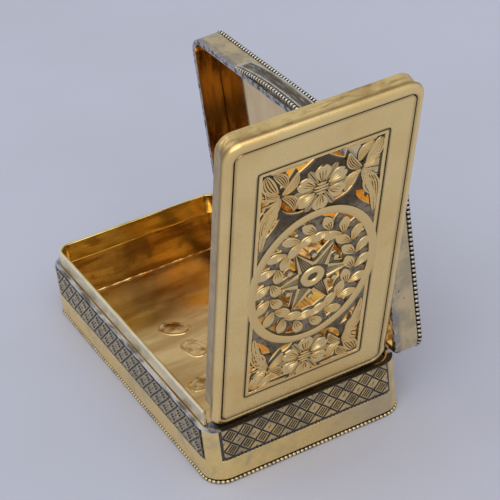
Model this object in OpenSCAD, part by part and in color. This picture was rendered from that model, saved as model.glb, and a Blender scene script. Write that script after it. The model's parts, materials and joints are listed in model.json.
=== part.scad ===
// Vinaigrette: a small hinged box with a second, pierced cover inside its lid.
// Millimetres, +Z up. The origin is the middle of the underside, X runs along the box,
// the thumbpiece side faces -Y. The lid hinges on the long back side and the pierced
// cover hinges on the short right side. Both are drawn open.

/* [Case] */
// Length of the case
case_l = 34; // [28:0.5:42]
// Width of the case, front to back
case_w = 19; // [16:0.5:26]
// Height of the ledge that the closed lid rests on
ledge_h = 5.5; // [4.5:0.1:8]
// Thickness of the side band
wall_t = 0.65; // [0.55:0.05:0.8]
// Outer radius of the upright corners
corner_r = 2; // [1.6:0.1:2.4]
// Thickness of the floor plate
floor_t = 0.5; // [0.5:0.05:0.8]
// Diameter of the milled wire round the floor and round the lid top
cord_d = 0.5; // [0.35:0.05:0.5]
// How far the milled wires stand out of the walls
cord_proud = 0.12; // [0.05:0.01:0.2]

/* [Side panels] */
// Height of the lower edge of the sunk side panels
panel_z = 2.4; // [1.4:0.1:3]
// Width of the plain strip up each corner, between two panels
corner_strip = 1.5; // [1:0.1:2]
// Depth of the sunk panels
panel_sink = 0.12; // [0.06:0.01:0.2]

/* [Floor punches] */
// Length of a blank punch on the floor
punch_l = 2.6; // [1.8:0.1:3]
// Width of a blank punch
punch_w = 1.4; // [0.8:0.1:1.6]
// Depth of a blank punch
punch_sink = 0.06; // [0.03:0.01:0.12]

/* [Inner rim] */
// Thickness of the upstanding inner rim
rim_t = 0.35; // [0.3:0.05:0.45]
// Height of the inner rim above the ledge
rim_h = 1.5; // [1.4:0.1:1.8]

/* [Lid] */
// Height of the closed lid above the ledge
lid_h = 2.8; // [2.8:0.1:4]
// Thickness of the lid's walls
lid_wall_t = 0.55; // [0.45:0.05:0.6]
// Thickness of the lid's top plate
lid_top_t = 0.5; // [0.5:0.05:0.6]
// Angle that the lid stands open
lid_angle = 88.3; // [88:0.1:98]

/* [Thumbpiece] */
// Length of the thumbpiece
thumb_l = 16.4; // [8:0.2:20]
// How far the thumbpiece stands out of the lid's front
thumb_out = 0.8; // [0.6:0.05:1.2]
// Height of the thumbpiece's top above the ledge
thumb_h = 1.75; // [1.4:0.05:2]
// Diameter of the milled wire under the thumbpiece
thumb_cord_d = 0.4; // [0.3:0.05:0.5]
// Depth of the hollow in the thumbpiece's front
thumb_hollow = 0.35; // [0.2:0.05:0.45]

/* [Hinges] */
// Outer diameter of the hinge tubes
barrel_d = 0.9; // [0.8:0.05:1]
// Diameter of the hinge pins
pin_d = 0.4; // [0.3:0.02:0.44]
// Running clearance round a pin, on the radius
pin_gap = 0.03; // [0.02:0.01:0.05]
// End clearance between two hinge tubes
tube_gap = 0.1; // [0.06:0.02:0.2]
// Clearance between the lid's hinge tubes and the inner rim
barrel_gap = 0.12; // [0.1:0.02:0.2]
// Clearance over and under the lid's hinge tubes, where the walls are cut back
back_relief = 0.15; // [0.12:0.01:0.25]
// Number of tubes in each hinge
tubes = 5; // [3:2:7]
// Distance from each end of the lid's hinge to the rounded corner
lid_hinge_inset = 0; // [0:0.1:2]
// Distance from each end of the cover's hinge to the inner rim
cover_hinge_inset = 0.6; // [0.4:0.1:3]
// Thickness of the bearer strips under the hinges
bearer_t = 0.6; // [0.4:0.05:0.9]

/* [Pierced cover] */
// Thickness of the pierced plate
cover_t = 0.5; // [0.4:0.05:0.55]
// Thickness of the edge that carries the half-round wire
cover_edge_t = 0.2; // [0.15:0.05:0.25]
// Width of the half-round wire round the cover
bead_w = 0.84; // [0.6:0.02:0.9]
// Width of the groove inside the half-round wire
groove_w = 0.1; // [0.06:0.02:0.2]
// Depth of the flange that drops into the inner rim
flange_h = 1.4; // [1:0.05:2]
// Thickness of the flange
flange_t = 0.3; // [0.2:0.05:0.35]
// Clearance between the flange and the inner rim
flange_gap = 0.1; // [0.08:0.02:0.14]
// Width of the cover's edge that lies on the inner rim
cover_rest = 0.16; // [0.1:0.02:0.2]
// Distance that the cover's edge reaches past its hinge axis
overhang = 0.7; // [0.6:0.05:0.75]
// Clearance between the cover's hinge edge and the lid's end wall
lid_end_gap = 0.15; // [0.1:0.05:0.4]
// Clearance between the cover's hinge tubes and its plate or its flange
tube_lift = 0.1; // [0.08:0.02:0.15]
// Angle that the cover stands open
cover_angle = 107.4; // [95:0.1:108]

/* [Pierced window] */
// Plain border between the groove and the engraved frame, at the sides and the hinge end
border = 1.95; // [1.5:0.05:2.4]
// Plain border at the free end
end_border = 2.6; // [1.6:0.05:3]
// Width of the engraved frame round the window
frame_w = 0.4; // [0.25:0.05:0.6]
// Width of an engraved line
line_w = 0.1; // [0.06:0.01:0.14]
// Depth of an engraved line
line_sink = 0.08; // [0.04:0.01:0.12]
// Distance from the hinge end of the window to the middle of the oval
oval_at = 11.9; // [10:0.1:13]
// Length of the oval ring
oval_l = 15.2; // [13:0.1:16]
// Width of the oval ring's band
oval_band = 0.8; // [0.5:0.05:1]
// Points of the star
star_points = 6; // [5:1:8]
// Outer radius of the boss in the star
boss_r = 1.07; // [0.8:0.05:1.3]
// Radius of the boss's eye
boss_eye_r = 0.42; // [0.3:0.02:0.6]
// Height of the boss above the plate
boss_h = 0.1; // [0.05:0.01:0.15]
// Leaves along each side of the wreath
wreath_leaves = 18; // [14:1:22]
// Length of an outer wreath leaf
leaf_l = 2.2; // [1.8:0.1:2.4]
// Width of an outer wreath leaf
leaf_w = 1; // [0.8:0.05:1.1]
// Turn of a wreath leaf away from its stem
leaf_turn = 33; // [25:1:45]
// Petals of each flower
petals = 6; // [5:1:8]
// Distance from the oval ring to the middle of a flower
flower_at = 2.3; // [1.8:0.1:2.6]

/* [Hidden] */
$fn = 48;
arc_fn = 240;
gilt = "#c3a468";
worn_silver = "#a9a9ad";
cut = 0.5;
wire_seat = 0.02;

half_l = case_l / 2;
half_w = case_w / 2;
barrel_r = barrel_d / 2;
bore_r = pin_d / 2 + pin_gap;

// The milled wires lie in a step between a wall and the edge of a plate
cord_in = cord_d / 2 - cord_proud;
plate_inset = cord_d - cord_proud + wire_seat;

// Hinge of the lid: flush with the back, its axis at the height of the ledge
lid_axis_y = half_w - barrel_r;
notch_z = ledge_h - barrel_r - back_relief;
lid_notch_z = ledge_h + barrel_r + back_relief;
lid_barrel_l = case_l - 2 * (corner_r + lid_hinge_inset);
lid_top_z = ledge_h + lid_h;

// Inner rim: against the band at the front and left, clear of the lid's hinge at the back
rim_front = -half_w + wall_t;
rim_back = half_w - barrel_d - barrel_gap;
rim_left = -half_l + wall_t;
rim_top = ledge_h + rim_h;
rim_r = corner_r - wall_t;
rim_mid = (rim_front + rim_back) / 2;

// Pierced cover: its edge lies on the inner rim, and its hinge axis lies under its right end
cover_left = rim_left + rim_t - cover_rest;
cover_right = half_l - lid_wall_t - lid_end_gap;
cover_l = cover_right - cover_left;
cover_w = rim_back - rim_front - 2 * (rim_t - cover_rest);
cover_r = rim_r - rim_t + cover_rest + bead_w / 2;
axis_x = cover_right - overhang;
axis_drop = barrel_r + tube_lift;
axis_z = rim_top - axis_drop;
rim_end = axis_x - overhang / 3;
cover_barrel_l = rim_back - rim_front - 2 * (rim_t + cover_hinge_inset);

// In the cover's own frame u runs from its hinge axis to its free end
cover_u0 = -overhang;
plate_in = bead_w + groove_w;
frame_in = plate_in + border;
window_in = frame_in + frame_w;
end_extra = end_border - border;
window_u0 = cover_u0 + window_in;
window_u1 = cover_u0 + cover_l - window_in - end_extra;
window_half = cover_w / 2 - window_in;
plate_z = axis_drop;
plate_top = axis_drop + cover_t;

// Flange: inside the inner rim, and short of the cover's hinge
flange_u0 = barrel_r + tube_lift;
flange_u1 = axis_x - (rim_left + rim_t + flange_gap);
flange_l = flange_u1 - flange_u0;
flange_w = rim_back - rim_front - 2 * (rim_t + flange_gap);
flange_r = cover_r - cover_rest - flange_gap;

// Ornament, laid out from the middle of the oval; the wreath and the star keep
// their distances from the oval ring
wreath_in = [1.85, 1.25];
stem_w = 0.8;
star_in = [1.15, 0.4];
star_notch = 1.6;
bud_r = 0.3;
bud_at = 2.4;
oval_u = window_u0 + oval_at;
oval_a = oval_l / 2;
oval_b = window_half + oval_band - 0.1;
stem_a = oval_a - oval_band - wreath_in[0];
stem_b = oval_b - oval_band - wreath_in[1];
tip_a = stem_a - star_in[0];
tip_b = stem_b - star_in[1];

// A rectangle with round corners, centred
module rounded(l, w, r) {
  square([l - 2 * r, w], center = true);
  square([l, w - 2 * r], center = true);
  for (x = [-1, 1], y = [-1, 1])
    translate([x * (l / 2 - r), y * (w / 2 - r)]) circle(r);
}

// A wall of even thickness round such a rectangle
module rounded_wall(l, w, r, t, h) {
  linear_extrude(h) difference() {
    rounded(l, w, r);
    rounded(l - 2 * t, w - 2 * t, r - t);
  }
}

// Runs a profile, drawn outwards and upwards, round such a rectangle
module rounded_loop(l, w, r) {
  for (k = [0:3]) {
    side = k % 2 == 0 ? [l, w] : [w, l];
    rotate(90 * k) {
      translate([side[0] / 2, 0, 0]) rotate([90, 0, 0])
        linear_extrude(side[1] - 2 * r, center = true) children();
      translate([side[0] / 2 - r, side[1] / 2 - r, 0])
        rotate_extrude(angle = 90) translate([r, 0]) children();
    }
  }
}

module milled_wire() {
  rounded_loop(case_l - 2 * cord_in, case_w - 2 * cord_in, corner_r - cord_in) circle(cord_d / 2);
}

module case_outline(inset) {
  rounded(case_l - 2 * inset, case_w - 2 * inset, corner_r - inset);
}

// A block between two corners
module block(low, high) {
  translate(low) cube(high - low);
}

// Middle of tube k of a hinge of length l, and the length of one tube
function tube_l(l) = (l - (tubes - 1) * tube_gap) / tubes;
function tube_at(l, k) = -l / 2 + tube_l(l) / 2 + k * (tube_l(l) + tube_gap);

// The lid and the cover are drawn closed and turned to where they stand
module lid_open() {
  translate([0, lid_axis_y, ledge_h]) rotate([-lid_angle, 0, 0])
    translate([0, -lid_axis_y, -ledge_h]) children();
}

module cover_open() {
  translate([axis_x, rim_mid, axis_z]) rotate([0, cover_angle, 0]) mirror([1, 0, 0]) children();
}

// Floor plate with three blank punches, each given by its place and its turn
module floor_plate() {
  punches = [[-5.8, -2, 44], [-1.7, -1.8, 13], [3.5, -3.5, 98]];
  punch_r = 0.35;
  color(gilt) difference() {
    linear_extrude(floor_t) case_outline(plate_inset);
    for (p = punches)
      translate([p[0], p[1], floor_t - punch_sink]) rotate(p[2])
        linear_extrude(cut) rounded(punch_l, punch_w, punch_r);
  }
}

// Plan of the sunk panels, which run into the corners and leave a plain strip up each corner
module panel_plan() {
  difference() {
    case_outline(-cut);
    case_outline(panel_sink);
    for (x = [-1, 1], y = [-1, 1])
      translate([x * (half_l - corner_r), y * (half_w - corner_r)]) rotate(atan2(y, x))
        translate([0, -corner_strip / 2]) square([2 * corner_r, corner_strip]);
  }
}

// Side band with a sunk panel on each side and the seat of the lid's hinge at the back
module side_band() {
  top = ledge_h + cut;
  color(gilt) difference() {
    translate([0, 0, floor_t])
      rounded_wall(case_l, case_w, corner_r, wall_t, ledge_h - floor_t);
    translate([0, 0, panel_z]) linear_extrude(top - panel_z) panel_plan();
    block([-lid_barrel_l / 2 - tube_gap, rim_back, notch_z],
          [lid_barrel_l / 2 + tube_gap, half_w + cut, top]);
  }
}

module base_milled_wire() {
  color(gilt) translate([0, 0, cord_d / 2]) milled_wire();
}

// Plan of the inner rim, open on the side of the cover's hinge
module rim_plan() {
  long = 2 * (rim_end - rim_left);
  wide = rim_back - rim_front;
  intersection() {
    translate([rim_end, rim_mid]) difference() {
      rounded(long, wide, rim_r);
      rounded(long - 2 * rim_t, wide - 2 * rim_t, rim_r - rim_t);
    }
    translate([rim_left - cut, -half_w]) square([rim_end - rim_left + cut, case_w]);
  }
}

module inner_rim() {
  color(gilt) translate([0, 0, notch_z]) linear_extrude(rim_top - notch_z) rim_plan();
}

// Strip inside the back wall that carries the lid's hinge and the back of the inner rim
module lid_hinge_bearer() {
  color(gilt)
    block([-lid_barrel_l / 2, rim_back - rim_t, notch_z - bearer_t],
          [lid_barrel_l / 2, half_w - wall_t, notch_z]);
}

// A hinge tube along X with a square foot, bored for the pin
module tube(l, foot_low, foot_high) {
  difference() {
    union() {
      rotate([0, 90, 0]) cylinder(h = l, r = barrel_r, center = true);
      block([-l / 2, foot_low[0], foot_low[1]], [l / 2, foot_high[0], foot_high[1]]);
    }
    rotate([0, 90, 0]) cylinder(h = l + cut, r = bore_r, center = true);
  }
}

module hinge_tubes(barrel_l, first, foot_low, foot_high) {
  for (k = [first:2:tubes - 1])
    translate([tube_at(barrel_l, k), 0, 0]) tube(tube_l(barrel_l), foot_low, foot_high);
}

module hinge_pin(l) {
  color(worn_silver) rotate([0, 90, 0]) cylinder(h = l, r = pin_d / 2, center = true);
}

module case_lid_tubes() {
  color(gilt) translate([0, lid_axis_y, ledge_h])
    hinge_tubes(lid_barrel_l, 0, [barrel_r - wall_t, notch_z - ledge_h], [barrel_r, 0]);
}

module lid_hinge_pin() {
  translate([0, lid_axis_y, ledge_h]) hinge_pin(lid_barrel_l);
}

// Strip inside the right wall that carries the cover's hinge, level with the ledge
module cover_hinge_bearer() {
  color(worn_silver) translate([0, 0, ledge_h - bearer_t]) linear_extrude(bearer_t)
    difference() {
      intersection() {
        case_outline(wall_t);
        translate([axis_x - barrel_r, -half_w]) square([half_l, half_w + rim_back]);
      }
      rim_plan();
    }
}

// The cover's hinge runs along Y, and local Y points into the case
module cover_hinge() {
  translate([axis_x, rim_mid, axis_z]) rotate(90) children();
}

// The feet stand on the inner side, out of the way of the cover's turning edge
module case_cover_tubes() {
  foot_out = 0.1;
  color(gilt) cover_hinge()
    hinge_tubes(cover_barrel_l, 0, [-foot_out, ledge_h - axis_z], [barrel_r, 0]);
}

module cover_hinge_pin() {
  cover_hinge() hinge_pin(cover_barrel_l);
}

module lid_top() {
  color(gilt) lid_open() translate([0, 0, lid_top_z - lid_top_t])
    linear_extrude(lid_top_t) case_outline(plate_inset);
}

// Walls of the lid, cut back over the hinge
module lid_wall() {
  color(gilt) lid_open() difference() {
    translate([0, 0, ledge_h])
      rounded_wall(case_l, case_w, corner_r, lid_wall_t, lid_h - lid_top_t);
    block([-half_l - cut, rim_back, ledge_h - cut], [half_l + cut, half_w + cut, lid_notch_z]);
  }
}

module lid_milled_wire() {
  color(gilt) lid_open() translate([0, 0, lid_top_z - cord_d / 2]) milled_wire();
}

// Bow of the thumbpiece: an arc over its length
thumb_arc_r = (thumb_l * thumb_l / 4 + thumb_out * thumb_out) / (2 * thumb_out);
thumb_arc_y = -half_w - thumb_out + thumb_arc_r;
thumb_z = ledge_h + thumb_cord_d;

// Bowed lip with a hollow front
module thumbpiece() {
  lip_h = thumb_h - thumb_cord_d;
  lip_edge = 0.15;
  hollow_h = lip_h - 2 * lip_edge;
  hollow_r = (hollow_h * hollow_h / 4 + thumb_hollow * thumb_hollow) / (2 * thumb_hollow);
  color(gilt) lid_open() difference() {
    translate([0, 0, thumb_z]) linear_extrude(lip_h) intersection() {
      translate([0, thumb_arc_y]) circle(thumb_arc_r, $fn = arc_fn);
      translate([-half_l, -half_w - 2 * thumb_out]) square([case_l, 2 * thumb_out]);
    }
    translate([0, -half_w - thumb_out + thumb_hollow - hollow_r, thumb_z + lip_h / 2])
      rotate([0, 90, 0]) cylinder(h = case_l, r = hollow_r, center = true);
  }
}

// Milled wire along the lower edge of the thumbpiece
module thumbpiece_milled_wire() {
  wire_r = thumb_cord_d / 2;
  turn = asin(thumb_l / 2 / thumb_arc_r);
  color(gilt) lid_open() difference() {
    translate([0, thumb_arc_y, ledge_h + wire_r]) rotate(270 - turn)
      rotate_extrude(angle = 2 * turn, $fn = arc_fn)
        translate([thumb_arc_r - wire_r, 0]) circle(wire_r, $fn = 32);
    block([-half_l, -half_w, ledge_h - cut], [half_l, half_w, thumb_z + cut]);
  }
}

// Tubes on the lid, with feet up to the edge of its back wall
module lid_tubes() {
  color(gilt) lid_open() translate([0, lid_axis_y, ledge_h])
    hinge_tubes(lid_barrel_l, 1, [barrel_r - lid_wall_t, 0], [barrel_r, lid_notch_z - ledge_h]);
}

// Outline of a leaf along X from its root at the origin, bowed to one side;
// swell puts its widest place nearer to the root or to the tip
function leaf_side(t, w, swell) = w / 2 * pow(sin(180 * pow(t, swell)), 0.8);
function leaf_bow(t, bow) = 4 * bow * t * (1 - t);
function leaf_points(l, w, bow, swell, n = 7) = concat(
  [for (i = [0:n]) [l * i / n, l * leaf_bow(i / n, bow) + leaf_side(i / n, w, swell)]],
  [for (i = [n - 1:-1:1]) [l * i / n, l * leaf_bow(i / n, bow) - leaf_side(i / n, w, swell)]]
);
module leaf(l, w, bow = 0, swell = 1.2) {
  polygon(leaf_points(l, w, bow, swell));
}

// A leaf from one place to another
module leaf_between(from, to, w, bow) {
  run = to - from;
  translate(from) rotate(atan2(run[1], run[0])) leaf(norm(run), w, bow, 0.9);
}

function oval_point(a, b, t) = [a * cos(t), b * sin(t)];
module oval(a, b, n = 64) {
  polygon([for (i = [0:n - 1]) oval_point(a, b, 360 * i / n)]);
}
module oval_ring(a, b, band) {
  difference() {
    oval(a, b);
    oval(a - band, b - band);
  }
}

// Star with a bud on a stalk in each notch; its first point lies across the cover
module star() {
  step = 180 / star_points;
  polygon([for (i = [0:2 * star_points - 1])
    let (r = i % 2 == 0 ? [tip_a, tip_b] : [star_notch, star_notch])
    oval_point(r[0], r[1], 90 + i * step)]);
  for (i = [0:star_points - 1]) rotate(90 + (2 * i + 1) * step) {
    translate([bud_at, 0]) circle(bud_r, $fn = 16);
    translate([0, -bud_r / 2]) square([bud_at, bud_r]);
  }
}

// Laurel wreath: a stem with a leaf to each side at every node
module wreath() {
  oval_ring(stem_a + stem_w / 2, stem_b + stem_w / 2, stem_w);
  for (i = [0:wreath_leaves - 1]) {
    t = 360 * i / wreath_leaves;
    along = atan2(-stem_b * cos(t), stem_a * sin(t));
    translate(oval_point(stem_a, stem_b, t)) {
      rotate(along + leaf_turn) leaf(leaf_l, leaf_w, -0.06);
      rotate(along - leaf_turn) leaf(leaf_l, leaf_w, 0.06);
    }
  }
}

// Tie at the foot of the wreath and bud at its head, which hold it in the oval
module wreath_ties() {
  tie_w = 1.4;
  tie_l = wreath_in[0] + oval_band / 2;
  translate([-stem_a - tie_l, -tie_w / 2]) square([tie_l, tie_w]);
  translate([stem_a, 0]) leaf(tie_l, leaf_w);
}

// Flower of broad petals round a button
module flower(r) {
  petal_w = 0.66 * r;
  for (i = [0:petals - 1])
    rotate(360 * i / petals) leaf(r, petal_w, 0, 1.5);
}

// Openings of one corner between the oval and an end of the window, u outwards: along the
// side, along the end, between flower and ring, and in the wedge beside the ring. The lobes
// of the acanthus leaf that stands between them reach into them.
module corner_openings(reach) {
  tip = oval_a;
  gap = reach - oval_a;
  side = window_half;
  bed = [tip + 0.5 * gap, side - 1.7];
  difference() {
    union() {
      leaf_between([tip + 0.16 * gap, side], [tip + 0.84 * gap, side], 2, 0);
      leaf_between([reach, 0.3], [tip + 0.58 * gap, side - 1.6], 1.7, -0.16);
      leaf_between([tip, 0.9], [tip + 0.44 * gap, side - 1.7], 1.3, 0.08);
      leaf_between([tip + 0.5, side - 2], [tip - 2.2, side - 0.1], 1.05, -0.06);
    }
    leaf_between(bed, [reach - 0.12 * gap, side - 3], 0.75, -0.15);
    leaf_between(bed, [tip + 0.12 * gap, side - 3], 0.75, 0.18);
    leaf_between(bed, [tip - 0.7, side - 1], 0.7, -0.15);
    leaf_between(bed, [reach - 0.3 * gap, side - 0.25], 0.75, 0.15);
  }
}

// Openings of one end of the window, round its flower
module end_openings(reach) {
  flower_r = min(flower_at, reach - oval_a - flower_at) + 0.3;
  difference() {
    for (s = [0, 1]) mirror([0, s]) corner_openings(reach);
    translate([oval_a + flower_at, 0]) flower(flower_r);
    oval(oval_a, oval_b);
  }
}

// Openings of the oval, between its ring, the wreath and the star
module oval_openings() {
  difference() {
    oval(oval_a - oval_band, oval_b - oval_band);
    wreath();
    wreath_ties();
    star();
  }
}

module cover_outline(inset) {
  translate([cover_u0 + cover_l / 2, 0])
    rounded(cover_l - 2 * inset, cover_w - 2 * inset, max(cover_r - inset, 0.2));
}

// The window, or a line round it at some distance
module window_plan(out) {
  translate([window_u0 - out, -window_half - out])
    square([window_u1 - window_u0 + 2 * out, 2 * (window_half + out)]);
}

// All openings of the window
module piercing() {
  intersection() {
    window_plan(0);
    translate([oval_u, 0]) {
      oval_openings();
      end_openings(window_u1 - oval_u);
      mirror([1, 0]) end_openings(oval_u - window_u0);
    }
  }
}

// Pierced plate, with an edge for the half-round wire, an engraved frame and a raised boss
module cover_plate() {
  color(gilt) cover_open() {
    difference() {
      translate([0, 0, plate_z]) union() {
        linear_extrude(cover_edge_t) cover_outline(0);
        linear_extrude(cover_t) cover_outline(plate_in);
      }
      translate([0, 0, plate_z - cut]) linear_extrude(cover_t + 2 * cut) piercing();
      translate([0, 0, plate_top - line_sink]) linear_extrude(cut) difference() {
        window_plan(frame_w);
        window_plan(frame_w - line_w);
      }
    }
    translate([oval_u, 0, plate_top]) linear_extrude(boss_h) difference() {
      circle(boss_r);
      circle(boss_eye_r);
    }
  }
}

// Half-round wire on the plate's edge
module cover_half_round_wire() {
  wire_r = bead_w / 2;
  color(gilt) cover_open()
    translate([cover_u0 + cover_l / 2, 0, plate_z + cover_edge_t])
      rounded_loop(cover_l - bead_w, cover_w - bead_w, cover_r - wire_r) intersection() {
        circle(wire_r);
        translate([-wire_r, 0]) square([bead_w, wire_r]);
      }
}

// Flange that drops inside the inner rim
module cover_flange() {
  color(gilt) cover_open()
    translate([flange_u0 + flange_l / 2, 0, plate_z - flange_h])
      rounded_wall(flange_l, flange_w, flange_r, flange_t, flange_h);
}

// Tubes on the underside of the cover
module cover_tubes() {
  pad = barrel_r - tube_lift / 2;
  color(gilt) cover_open() rotate(90)
    hinge_tubes(cover_barrel_l, 1, [-pad, 0], [pad, axis_drop]);
}

floor_plate();
side_band();
base_milled_wire();
inner_rim();
lid_hinge_bearer();
case_lid_tubes();
lid_hinge_pin();
cover_hinge_bearer();
case_cover_tubes();
cover_hinge_pin();
lid_top();
lid_wall();
lid_milled_wire();
thumbpiece();
thumbpiece_milled_wire();
lid_tubes();
cover_plate();
cover_half_round_wire();
cover_flange();
cover_tubes();
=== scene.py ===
"""Looks of a small silver-gilt vinaigrette: gilding, milled wires, engraving and pierced cover."""
import json
import math

import bmesh
import bpy
from mathutils import Euler, Matrix, Vector

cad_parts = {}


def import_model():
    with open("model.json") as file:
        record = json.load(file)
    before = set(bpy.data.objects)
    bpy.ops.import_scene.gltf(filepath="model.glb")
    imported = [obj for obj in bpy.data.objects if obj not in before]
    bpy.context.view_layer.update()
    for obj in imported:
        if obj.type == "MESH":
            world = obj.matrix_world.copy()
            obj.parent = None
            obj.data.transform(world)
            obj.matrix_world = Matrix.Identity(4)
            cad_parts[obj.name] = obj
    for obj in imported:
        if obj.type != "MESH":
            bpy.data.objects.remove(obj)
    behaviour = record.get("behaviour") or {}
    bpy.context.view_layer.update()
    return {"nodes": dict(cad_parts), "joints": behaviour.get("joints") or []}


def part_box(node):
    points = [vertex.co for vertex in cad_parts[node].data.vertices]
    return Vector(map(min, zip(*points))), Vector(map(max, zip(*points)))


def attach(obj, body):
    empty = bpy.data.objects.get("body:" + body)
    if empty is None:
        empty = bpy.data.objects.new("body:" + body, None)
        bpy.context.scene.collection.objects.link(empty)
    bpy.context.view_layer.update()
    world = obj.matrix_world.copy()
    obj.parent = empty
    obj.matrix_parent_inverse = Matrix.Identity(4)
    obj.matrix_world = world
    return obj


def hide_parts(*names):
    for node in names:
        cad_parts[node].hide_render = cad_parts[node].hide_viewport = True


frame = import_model()

# Sizes are in millimetres, and matrices bring them to the frame's metres
MM = 0.001


# Frame of the case, the lid and the pierced cover

def box_mm(node):
    low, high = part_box(node)
    return low / MM, high / MM


joints = {joint["name"]: joint for joint in frame["joints"]}
lid_axis = Vector(joints["lid_hinge"]["pos_m"]) / MM
cover_axis = Vector(joints["cover_hinge"]["pos_m"]) / MM
plate_low, plate_high = box_mm("cover_plate")
cover_axis.y = (plate_low.y + plate_high.y) / 2

LID_OPEN = math.radians(88.3)
COVER_OPEN = math.radians(-joints["cover_hinge"]["range_deg"][0])

# Case as drawn; lid as if closed; cover lying flat, x across it and y from hinge to free end
to_case = Matrix.Scale(MM, 4)
to_lid = (to_case @ Matrix.Translation(lid_axis) @ Matrix.Rotation(-LID_OPEN, 4, "X")
          @ Matrix.Translation(-lid_axis))
to_cover = (to_case @ Matrix.Translation(cover_axis) @ Matrix.Rotation(COVER_OPEN, 4, "Y")
            @ Matrix.Rotation(math.radians(90), 4, "Z"))
lay_flat = to_cover.inverted()

half_l, half_w, ledge_z = box_mm("side_band")[1]
wire_low, wire_high = box_mm("base_milled_wire")
wire_d = wire_high.z - wire_low.z
CORNER_R = 2.0
LID_H = 2.8
WALL_T = 0.65
LID_WALL_T = 0.55
PANEL_LOW = 2.4
PANEL_SINK = 0.12
CORNER_STRIP = 1.5
PLATE_TOP = 1.05
GROUND = 0.94

# Pierced cover: its edge, its border and its window with the oval
BEAD = 0.94
BORDER = 1.95
END_BORDER = 2.6
FRAME_W = 0.4
COVER_R = 1.58
plate_points = [lay_flat @ v.co for v in frame["nodes"]["cover_plate"].data.vertices]
cover_half = (plate_high.y - plate_low.y) / 2
cover_start = min(p.y for p in plate_points)
cover_end = max(p.y for p in plate_points)
cover_middle = (cover_start + cover_end) / 2
cover_reach = (cover_end - cover_start) / 2
window_half = cover_half - BEAD - BORDER - FRAME_W
window_low = cover_start + BEAD + BORDER + FRAME_W
window_high = cover_end - BEAD - END_BORDER - FRAME_W
window_middle = (window_low + window_high) / 2
window_reach = (window_high - window_low) / 2
OVAL_AT = window_low + 11.9
OVAL_A = 7.6
# Upright outlines: middle, half sizes, radius of the corners
BOX_OUTLINE = ((0, 0), (half_l, half_w), CORNER_R)
WINDOW_OUTLINE = ((0, window_middle), (window_half, window_reach), 0)
PLATE_OUTLINE = ((0, cover_middle), (cover_half - BEAD, cover_reach - BEAD), COVER_R - BEAD)


# Meshes

WELD = 2e-4


def loft(rows, closed=False):
    """Points and faces of a sheet through rows of points; closed joins the last to the first."""
    wide = len(rows[0])
    points = [tuple(p) for row in rows for p in row]
    faces = []
    for r in range(len(rows) if closed else len(rows) - 1):
        here = r * wide
        there = (r + 1) % len(rows) * wide
        for c in range(wide - 1):
            faces.append((here + c, there + c, there + c + 1, here + c + 1))
    return points, faces


def as_mesh(*parts):
    """One mesh of several (points, faces)."""
    points, faces = [], []
    for part_points, part_faces in parts:
        faces += [tuple(i + len(points) for i in face) for face in part_faces]
        points += part_points
    mesh = bpy.data.meshes.new("shape")
    mesh.from_pydata(points, [], faces)
    return mesh


def tidy(mesh):
    """Merges doubles, drops empty faces and turns the faces outwards."""
    bm = bmesh.new()
    bm.from_mesh(mesh)
    bmesh.ops.remove_doubles(bm, verts=bm.verts, dist=1e-4)
    bmesh.ops.dissolve_degenerate(bm, edges=bm.edges, dist=1e-5)
    bmesh.ops.recalc_face_normals(bm, faces=bm.faces)
    bm.to_mesh(mesh)
    bm.free()
    return mesh


def joined(*meshes):
    """One mesh of several."""
    bm = bmesh.new()
    for mesh in meshes:
        bm.from_mesh(mesh)
    whole = bpy.data.meshes.new("joined")
    bm.to_mesh(whole)
    bm.free()
    return whole


def all_of(bm):
    return bm.verts[:] + bm.edges[:] + bm.faces[:]


def moved(part, matrix):
    points, faces = part
    return [tuple(matrix @ Vector(p)) for p in points], faces


def placed(part, x, y, turn):
    """A part turned by degrees and put in its place."""
    return moved(part, Matrix.Translation((x, y, 0)) @ Matrix.Rotation(math.radians(turn), 4, "Z"))


def round_turns(n):
    """Angles of n even steps round a circle."""
    return [2 * math.pi * i / n for i in range(n)]


def round_corners(half_x, half_y, steps):
    """Middles of a rectangle's four corner arcs, with the directions round each of them."""
    for k, (sx, sy) in enumerate([(1, 1), (-1, 1), (-1, -1), (1, -1)]):
        for i in range(steps + 1):
            a = math.radians(90 * (k + i / steps))
            yield sx * half_x, sy * half_y, math.cos(a), math.sin(a)


def rounded_path(l, w, r, z, steps=10):
    """Closed path round a rectangle with round corners."""
    return [(x + r * c, y + r * s, z) for x, y, c, s in round_corners(l / 2 - r, w / 2 - r, steps)]


def new_object(name, data):
    """A new object in the scene."""
    obj = bpy.data.objects.new(name, data)
    bpy.context.scene.collection.objects.link(obj)
    return obj


def piece(name, mesh, matrix, body, finishes, replaces=(), sharp=40):
    """Puts a mesh in its place as a piece of the object."""
    mesh.transform(matrix)
    mesh.shade_smooth()
    mesh.set_sharp_from_angle(angle=math.radians(sharp))
    if finishes:
        mesh.materials.clear()
    for finish in finishes:
        mesh.materials.append(finish)
    obj = new_object(name, mesh)
    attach(obj, body)
    if replaces:
        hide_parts(*replaces)
    return obj


# Node trees

def add_node(tree, kind, inputs=(), **settings):
    """Adds a node with its settings; inputs gives each socket a value, a node or an output."""
    node = tree.nodes.new(kind)
    for name, value in settings.items():
        setattr(node, name, value)
    for key, value in dict(inputs).items():
        if isinstance(value, bpy.types.Node):
            value = value.outputs[0]
        if isinstance(value, bpy.types.NodeSocket):
            tree.links.new(value, node.inputs[key])
        else:
            node.inputs[key].default_value = value
    return node


def new_tree(name, inputs):
    tree = bpy.data.node_groups.new(name, "GeometryNodeTree")
    for socket, kind in inputs.items():
        tree.interface.new_socket(socket, in_out="INPUT", socket_type="NodeSocket" + kind)
    tree.interface.new_socket("Geometry", in_out="OUTPUT", socket_type="NodeSocketGeometry")
    return tree, tree.nodes.new("NodeGroupInput").outputs


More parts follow.
